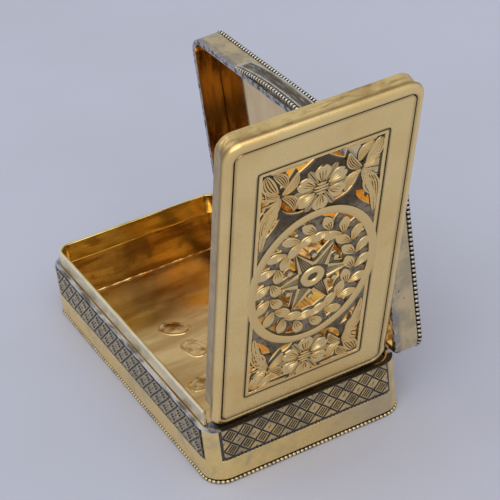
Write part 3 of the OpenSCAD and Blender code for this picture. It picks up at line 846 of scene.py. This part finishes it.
def panel(length, top):
    """Lattice of one side, flat, from the middle of its lower edge."""
    field_l = length - 2 * END_GROOVE
    field_h = top - PANEL_LOW - LOW_GROOVE
    columns = round(field_l / CELL)
    wide = field_l / columns
    high = field_h / 2
    shape = (wide / 2 - CELL_GAP, high / 2 - CELL_GAP)
    hatched = [((i + 0.5) * wide, j * high / 2, 0) for i in range(columns) for j in (1, 3)]
    plain = [(i * wide, j * high / 2, 0) for i in range(columns + 1) for j in (0, 2, 4)]
    cells = joined(
        repeat(hatched_cell(*shape), hatched, lattice_gilding, unevenness=0.05, seed=3),
        repeat(plain_cell(*shape), plain, lattice_gilding, unevenness=0.03, seed=5))
    cells = clipped(cells, (0, 0), (field_l, field_h))
    cells.transform(Matrix.Translation((-field_l / 2, LOW_GROOVE, 0)))
    bites = int(length / WRIGGLE_PITCH)
    places = [((i + 0.5) * length / bites - length / 2, 0, 0) for i in range(bites)]
    return joined(cells, repeat(wriggle_tooth(), places, lattice_gilding))


def on_side(flat, straight, deep):
    """Stands a flat panel on its side of the box and bends its ends round the corners."""
    for v in flat.vertices:
        s, up, out = v.co
        turn = max(abs(s) - straight, 0) / panel_r
        x = math.copysign(min(abs(s), straight) + (panel_r + out) * math.sin(turn), s)
        v.co = (x, -(deep - CORNER_R) - (panel_r + out) * math.cos(turn), PANEL_LOW + up)
    return flat


def lattice():
    """All four sides; the back one ends under the notch for the lid's hinge."""
    sides = []
    for k in range(4):
        across, deep = (half_l, half_w) if k % 2 == 0 else (half_w, half_l)
        straight = across - CORNER_R
        flat = panel(2 * (straight + panel_arc * panel_r), HINGE_NOTCH if k == 2 else ledge_z)
        flat = on_side(flat, straight, deep)
        flat.transform(Matrix.Rotation(math.radians(90 * k), 4, "Z"))
        sides.append(flat)
    return joined(*sides)


piece("engraved_lattice", lattice(), to_case, "case", [lattice_gilding], sharp=25)


# Pierced cover: the plate with its ground cut down, and its rolled edge

STEP = 0.04
EDGE_HIDDEN = 0.12
GROOVE_W = 0.1
UNDERSIDE = 0.56
EDGE_Z = 0.75
ROLL_W = 0.78
ROLL_H = 0.55
ROLL_TOP = 0.1
ROLL_STEPS = 6
ROLL_CORNER_STEPS = 12


def cut_plate():
    """The pierced plate, merged, with the ground of the window lowered."""
    mesh = frame["nodes"]["cover_plate"].data.copy()
    mesh.transform(lay_flat)
    bm = bmesh.new()
    bm.from_mesh(mesh)
    bmesh.ops.remove_doubles(bm, verts=bm.verts, dist=WELD)
    for inset in (0.0, STEP):
        cuts = [((window_half - inset, 0, 0), (1, 0, 0)), ((-window_half + inset, 0, 0), (1, 0, 0)),
                ((0, window_low + inset, 0), (0, 1, 0)), ((0, window_high - inset, 0), (0, 1, 0))]
        for place, normal in cuts:
            bmesh.ops.bisect_plane(bm, geom=all_of(bm), dist=1e-4, plane_co=place, plane_no=normal)
    # Points on the inner cut go down with the ground
    edge = STEP - 0.002
    for v in bm.verts:
        inside = (abs(v.co.x) < window_half - edge
                  and window_low + edge < v.co.y < window_high - edge)
        if inside and v.co.z > PLATE_TOP - 0.01:
            v.co.z = GROUND
    # The rim of the plate is drawn in under the rolled edge
    for v in bm.verts:
        corner = Vector((max(-cover_half + COVER_R, min(cover_half - COVER_R, v.co.x)),
                         max(cover_start + COVER_R, min(cover_end - COVER_R, v.co.y)), v.co.z))
        out = v.co - corner
        if out.length > COVER_R - 0.02:
            v.co = corner + out * ((COVER_R - EDGE_HIDDEN) / out.length)
    bmesh.ops.remove_doubles(bm, verts=bm.verts, dist=WELD)
    bm.to_mesh(mesh)
    bm.free()
    return mesh


def rolled_edge():
    """Wire round the plate, highest at its groove and rolled down to the underside."""
    profile = [(0.0, EDGE_Z), (0.0, PLATE_TOP - 0.02), (0.04, PLATE_TOP + 0.03)]
    for i in range(ROLL_STEPS + 1):
        a = math.radians(90 - 90 / ROLL_STEPS * i)
        profile.append((ROLL_TOP + (ROLL_W - ROLL_TOP) * math.cos(a),
                        UNDERSIDE + ROLL_H * math.sin(a)))
    profile += [(ROLL_W / 2, UNDERSIDE), (0.0, EDGE_Z)]
    inner_r = COVER_R - (BEAD - GROOVE_W)
    corners = round_corners(cover_half - COVER_R, cover_reach - COVER_R, ROLL_CORNER_STEPS)
    rows = [[(x + (inner_r + d) * c, cover_middle + y + (inner_r + d) * s, z) for d, z in profile]
            for x, y, c, s in corners]
    return as_mesh(loft(rows, closed=True))


# Ornament of the cover, which stands on its ground

ROOT = GROUND - 0.02
MOAT = PLATE_TOP - 0.075
CUT = 0.09
OVAL_BAND = 0.8
OVAL_B = window_half + OVAL_BAND - 0.1
OVAL_STEPS = 96
STEM_A = OVAL_A - OVAL_BAND - 1.85
STEM_B = OVAL_B - OVAL_BAND - 1.25
VEIN = 0.11
LEAF_SECTION = [-1, -0.86, -0.6, 0.6, 0.86, 1]
LEAF_END = 0.004


def leaf(length, width, bow=0.0, swell=1.2, veins=(0.0,), vein_end=1.0, n=9, notch=0.0, dome=0.02,
         top=PLATE_TOP):
    """A leaf along X with veins cut into its top; swell moves its widest place."""
    across = LEAF_SECTION + [s + off for s in veins for off in (-VEIN, 0, VEIN)]
    across = sorted(set(across))
    rows = []
    for i in range(n + 1):
        t = i / n
        half = width / 2 * math.sin(math.pi * t ** swell) ** 0.8 if 0 < i < n else LEAF_END
        row = []
        for s in across:
            x = length * t - notch * length * (1 - abs(s)) * t ** 6
            y = length * 4 * bow * t * (1 - t) + s * half
            z = top + dome * (1 - s * s) if abs(s) < 1 else ROOT
            if t < vein_end and any(abs(s - v) < 0.01 for v in veins):
                z = top - CUT
            row.append((x, y, z if 0 < i < n else ROOT))
        rows.append(row)
    return loft(rows)


def oval_ring():
    """Plain ring round the wreath."""
    half = OVAL_BAND / 2
    a, b = OVAL_A - half, OVAL_B - half
    left = [(-half, ROOT), (-half + 0.02, PLATE_TOP - 0.02), (-half + 0.08, PLATE_TOP + 0.02)]
    profile = left + [(0, PLATE_TOP + 0.03)] + [(-r, z) for r, z in reversed(left)]
    rows = []
    for t in round_turns(OVAL_STEPS):
        x, y = b * math.sin(t), OVAL_AT + a * math.cos(t)
        out = Vector((a * math.sin(t), b * math.cos(t))).normalized()
        rows.append([(x + out.x * r, y + out.y * r, z) for r, z in profile])
    return as_mesh(loft(rows, closed=True))


WREATH_LEAVES = 18
LEAF_TURN = {-1: math.radians(46), 1: math.radians(33)}
LEAF_L = 1.95
LEAF_W = 1.08


def wreath():
    """Pairs of laurel leaves round the oval, one on each side of the stem."""
    places = []
    for t in round_turns(WREATH_LEAVES):
        x, y = STEM_B * math.sin(t), OVAL_AT + STEM_A * math.cos(t)
        stem_turn = math.atan2(STEM_A * math.sin(t), -STEM_B * math.cos(t))
        places += [(x, y, stem_turn + side * LEAF_TURN[side]) for side in (-1, 1)]
    laurel = leaf(LEAF_L, LEAF_W, veins=(-0.42, 0.0, 0.42), vein_end=0.55)
    return repeat(as_mesh(laurel), places, engraved_gilding, unevenness=0.08, seed=11)


RAYS = 6
RAY_ENDS = (STEM_B - 0.4, STEM_A - 1.15)
RAY_ROOT = 1.3
RAY_HALF = 0.86
RAY_SINK = 0.038
BUD_AT = 2.4
BUD_R = 0.3
BUD_H = 0.15


def ray(reach):
    """One ray of the star along X: raised edges, a sunk middle with lines."""
    sunk = PLATE_TOP - RAY_SINK
    line = PLATE_TOP - CUT
    section = [(-1, ROOT), (-0.95, PLATE_TOP + 0.01), (-0.6, PLATE_TOP + 0.02), (-0.5, line),
               (-0.32, sunk), (-0.24, line), (-0.08, sunk), (0, line)]
    section += [(-s, z) for s, z in reversed(section[:-1])]
    rows = []
    for t in (0, 0.25, 0.5, 0.75, 0.92, 1):
        x = RAY_ROOT + (reach - RAY_ROOT) * t
        half = RAY_HALF * (1 - t) + 0.01
        rows.append([(x, s * half, z if t < 1 else ROOT) for s, z in section])
    return loft(rows)


def bud(r, h, n=14, rings=5):
    """A small dome."""
    rows = []
    for k in range(rings + 1):
        a = math.pi / 2 * k / rings
        out, z = r * math.cos(a), ROOT + h * math.sin(a)
        turns = [2 * math.pi * i / n for i in range(n + 1)]
        rows.append([(out * math.cos(t), out * math.sin(t), z) for t in turns])
    return loft(rows)


def star():
    """Rays with raised edges and engraved lines towards the boss, and a bud in each notch."""
    parts = []
    for t in round_turns(RAYS):
        tip = Vector((RAY_ENDS[0] * math.cos(t), RAY_ENDS[1] * math.sin(t)))
        turn = math.degrees(math.atan2(tip.y, tip.x))
        parts.append(placed(ray(tip.length), 0, OVAL_AT, turn))
        between = t + math.pi / RAYS
        x, y = BUD_AT * math.cos(between), BUD_AT * math.sin(between)
        parts.append(placed(bud(BUD_R, BUD_H), x, OVAL_AT + y, 0))
    return as_mesh(*parts)


BOSS_STEPS = 40


def boss():
    """Raised ring with a sunk eye."""
    profile = [(1.42, ROOT), (1.42, MOAT), (1.1, MOAT), (1.07, PLATE_TOP), (1.0, PLATE_TOP + 0.07),
               (0.75, PLATE_TOP + 0.1), (0.52, PLATE_TOP + 0.07), (0.46, PLATE_TOP), (0.42, MOAT),
               (0.001, MOAT)]
    rows = [[(r * math.cos(t), OVAL_AT + r * math.sin(t), z) for r, z in profile]
            for t in round_turns(BOSS_STEPS)]
    return as_mesh(loft(rows, closed=True))


FLOWER_AT = OVAL_A + 2.3
PETAL = (1.95, 1.55)
PETAL_ROOT = 0.55
LOWER_PETAL = (2.1, 0.8)
LOWER_ROOT = 0.5
LOWER_TOP = PLATE_TOP - 0.06
BUTTON_OVAL = (1.1, 0.85)
STRIP_HALVES = (0.5, 0.78, 0.78, 0.5)
STRIP_W = 0.3
STRIP_PITCH = 0.32


def flower(at):
    """Six notched petals over six lower ones, round a hatched oval button."""
    petal = leaf(*PETAL, swell=1.35, veins=(-0.35, 0.0, 0.35), vein_end=0.6, notch=0.16)
    lower = leaf(*LOWER_PETAL, swell=1.3, vein_end=0.9, top=LOWER_TOP)
    parts = []
    for shape, root, first in ((petal, PETAL_ROOT, 30), (lower, LOWER_ROOT, 0)):
        shape = moved(shape, Matrix.Translation((root, 0, 0)))
        parts += [placed(shape, 0, at, 60 * i + first) for i in range(6)]
    button = moved(bud(1.0, MOAT - ROOT), Matrix.Diagonal((*BUTTON_OVAL, 1, 1)))
    parts.append(placed(button, 0, at, 0))
    for k, half in enumerate(STRIP_HALVES):
        strip = leaf(2 * half, STRIP_W, swell=1.0, veins=(), n=5, dome=0.06)
        parts.append(placed(strip, -half, at + (k - 1.5) * STRIP_PITCH, 0))
    return as_mesh(*parts)


# Ends of the fine strokes that fan out to the frame, as parts of the leaf's height
FAN = (0.0, 0.14, 0.28, 0.42, 0.58)


def acanthus(towards, reach):
    """Curling leaves in the corners at one end of the window; towards is 1 at the free end."""
    parts = []
    gap = reach - OVAL_A
    tip = OVAL_A
    side = window_half

    def lobe(start, end, width, bow, veins=(-0.55, -0.18, 0.18, 0.55)):
        """A leaf and its mirror image, between places given as (along the window, across it)."""
        for mirror in (-1, 1):
            a = Vector((mirror * start[1], OVAL_AT + towards * start[0]))
            b = Vector((mirror * end[1], OVAL_AT + towards * end[0]))
            run = b - a
            part = leaf(run.length, width, bow=-bow * mirror * towards, swell=0.9, veins=veins,
                        vein_end=0.85)
            parts.append(placed(part, a.x, a.y, math.degrees(math.atan2(run.y, run.x))))

    bed = (tip + 0.5 * gap, side - 1.7)
    lobe(bed, (reach - 0.12 * gap, side - 3), 1.0, -0.15)
    lobe(bed, (tip + 0.12 * gap, side - 3), 0.95, 0.18)
    lobe(bed, (reach - 0.3 * gap, side - 0.3), 0.9, 0.15)
    for f in FAN:
        lobe(bed, (tip + f * gap, side - 0.12), 0.3, 0.14, veins=(0.0,))
    lobe((reach - 0.1, side - 0.25), (tip + 0.55 * gap, side - 1.5), 1.35, -0.1)
    lobe((reach - 0.2, side - 0.9), (tip + 0.62 * gap, side - 2.1), 1.0, 0.12)
    lobe((reach - 0.15, side - 0.5), (reach - 0.2, 1.4), 0.5, 0.05, veins=(0.0,))
    lobe((tip - 1.9, side - 0.4), bed, 1.15, 0.12)
    lobe((tip - 0.6, side - 0.35), (tip + 0.42 * gap, side - 1.2), 0.8, -0.12, veins=(-0.3, 0.3))
    lobe((tip - 2.6, side - 0.2), (tip + 0.1 * gap, side - 0.75), 0.6, 0.03, veins=(0.0,))
    return as_mesh(*parts)


piece("engraved_cover_plate", cut_plate(), to_cover, "cover", [plate_gilding],
      replaces=["cover_plate"], sharp=12)
piece("cover_rolled_edge", tidy(rolled_edge()), to_cover, "cover", [edge_gilding],
      replaces=["cover_half_round_wire"])
ornament = [oval_ring(), wreath(), star(), boss()]
for direction, end in ((1, window_high), (-1, window_low)):
    ornament.append(flower(OVAL_AT + direction * FLOWER_AT))
    ornament.append(acanthus(direction, abs(end - OVAL_AT)))
piece("cover_ornament", joined(*[tidy(shape) for shape in ornament]), to_cover, "cover",
      [engraved_gilding], sharp=35)


# Floor: blank punches with a raised burr and a low swelling, and the solder that holds it

FLOOR_Z = 0.5
# Place and turn of each punch
PUNCHES = [(-5.8, -2.0, 44), (-1.7, -1.8, 13), (3.5, -3.5, 98)]
PUNCH_HALF = (1.48, 0.97)
PUNCH_POWER = 2.5
PUNCH_STEPS = 32
PUNCH_UNEVEN = 0.04
# Burr as (distance outside the punch, height), swelling as (part of its radius, height)
BURR = [(0.12, -0.01), (0.05, 0.05), (-0.02, 0.06), (-0.1, 0.025), (-0.2, 0.015)]
SWELLING = [(0.72, 0.02), (0.58, 0.05), (0.4, 0.07), (0.2, 0.08), (0.001, 0.08)]
SEAM_R = 0.13
SEAM_STEP = 0.4
SEAM_ARC = [math.radians(-20 + 28 * k) for k in range(6)]


def punch(x, y, turn):
    """Burr round an oval punch, struck unevenly, and the worn swelling inside it."""
    rows = []
    for a in round_turns(PUNCH_STEPS):
        c, s = math.cos(a), math.sin(a)
        far = abs(c / PUNCH_HALF[0]) ** PUNCH_POWER + abs(s / PUNCH_HALF[1]) ** PUNCH_POWER
        r = far ** (-1 / PUNCH_POWER) * (1 + PUNCH_UNEVEN * math.sin(3 * a + x))
        profile = [(r + out, z) for out, z in BURR] + [(r * part, z) for part, z in SWELLING]
        rows.append([(d * c, d * s, FLOOR_Z + z) for d, z in profile])
    return placed(loft(rows, closed=True), x, y, turn)


def solder_seam():
    """Uneven fillet between the floor and the walls."""
    path = rounded_path(2 * (half_l - WALL_T), 2 * (half_w - WALL_T), CORNER_R - WALL_T, FLOOR_Z,
                        steps=6)
    points = []
    for a, b in zip(path, path[1:] + path[:1]):
        a, b = Vector(a), Vector(b)
        parts = max(1, round((b - a).length / SEAM_STEP))
        points += [a.lerp(b, i / parts) for i in range(parts)]
    rows = []
    for i, p in enumerate(points):
        along_path = (points[(i + 1) % len(points)] - points[i - 1]).normalized()
        inwards = Vector((-along_path.y, along_path.x, 0))
        thick = SEAM_R * (1 + 0.35 * math.sin(1.9 * i) + 0.3 * math.sin(0.53 * i + 1))
        rows.append([p + inwards * (thick * math.cos(a)) + Vector((0, 0, thick * math.sin(a)))
                     for a in SEAM_ARC])
    return loft(rows, closed=True)


piece("floor_punches", tidy(as_mesh(*[punch(*at) for at in PUNCHES])), to_case, "case",
      [bright_gilding], sharp=70)
piece("floor_solder_seam", tidy(as_mesh(solder_seam())), to_case, "case",
      [bright_gilding], sharp=60)


# Finishes of the CAD nodes, and edges worn round

NODE_FINISH = {
    "floor_plate": floor_mirror, "side_band": band_gilding, "inner_rim": rim_gilding,
    "lid_hinge_bearer": bright_gilding, "case_lid_tubes": bright_gilding,
    "lid_hinge_pin": bare_silver, "cover_hinge_bearer": bare_silver,
    "case_cover_tubes": grimy_gilding, "cover_hinge_pin": bare_silver, "lid_top": lid_mirror,
    "lid_wall": lid_gilding, "thumbpiece": thumb_silver, "lid_tubes": bright_gilding,
    "cover_flange": flange_gilding, "cover_tubes": grimy_gilding}
WORN_EDGE = {"side_band": 0.08, "inner_rim": 0.1, "lid_wall": 0.08, "thumbpiece": 0.08,
             "cover_flange": 0.12, "floor_plate": 0.02}
SHARP_EDGE = math.radians(50)
for name, coating in NODE_FINISH.items():
    node = frame["nodes"][name]
    for slot in node.material_slots:
        slot.material = coating
    if name in WORN_EDGE:
        weld = node.modifiers.new("weld", "WELD")
        weld.merge_threshold = WELD * MM
        edge = node.modifiers.new("worn_edge", "BEVEL")
        edge.limit_method = "ANGLE"
        edge.angle_limit = SHARP_EDGE
        edge.width = WORN_EDGE[name] * MM
        edge.segments = 3


# Studio: pale floor, soft light, camera at the photo's angle; places and sizes here are in metres

FLOOR_HALF = 3.0
FLOOR_MOTTLE = 40.0
LENS = 126.5
CAMERA_AT_MM = (123.45, -51.9, 95.36)
CAMERA_TURN = (57.6, 5.93, 61.78)


def studio_floor():
    """Pale paper, hardly mottled."""
    corners = [(-1, -1), (1, -1), (1, 1), (-1, 1)]
    mesh = as_mesh(([(FLOOR_HALF * x, FLOOR_HALF * y, 0) for x, y in corners], [(0, 1, 2, 3)]))
    material = bpy.data.materials.new("pale_paper")
    material.use_nodes = True
    tree = material.node_tree
    shader = tree.nodes["Principled BSDF"]
    place = add_node(tree, "ShaderNodeTexCoord").outputs["Object"]
    mottle = patches(FLOOR_MOTTLE, 0.3, 0.7)(tree, place)
    tone = add_node(tree, "ShaderNodeMix", {
        0: mottle, 6: linear("#bcbecb"), 7: linear("#b8bac6")}, data_type="RGBA")
    tree.links.new(tone.outputs[2], shader.inputs["Base Color"])
    shader.inputs["Roughness"].default_value = 0.7
    shader.inputs["Specular IOR Level"].default_value = 0.2
    mesh.materials.append(material)
    obj = new_object("studio_floor", mesh)


def softbox(name, place, size, power):
    """A square white lamp that faces the box."""
    data = bpy.data.lights.new(name, "AREA")
    data.shape = "RECTANGLE"
    data.size = data.size_y = size
    data.energy = power
    lamp = new_object(name, data)
    lamp.location = place
    lamp.rotation_euler = (-Vector(place)).to_track_quat("-Z", "Y").to_euler()


def world():
    sky = bpy.data.worlds.new("studio_air")
    sky.use_nodes = True
    shade = sky.node_tree.nodes["Background"]
    shade.inputs["Color"].default_value = linear("#e8eaf2")
    shade.inputs["Strength"].default_value = 0.66
    bpy.context.scene.world = sky


def camera():
    data = bpy.data.cameras.new("camera")
    data.lens = LENS
    data.sensor_width = 36
    data.clip_start = 0.01
    obj = new_object("camera", data)
    obj.location = Vector(CAMERA_AT_MM) * MM
    obj.rotation_euler = Euler([math.radians(a) for a in CAMERA_TURN])
    bpy.context.scene.camera = obj


studio_floor()
softbox("front_softbox", (0.55, -0.25, 0.9), 1.3, 7.8)
softbox("left_softbox", (-0.6, -0.6, 0.8), 0.8, 1.1)
world()
camera()
bpy.context.scene.view_settings.view_transform = "Standard"
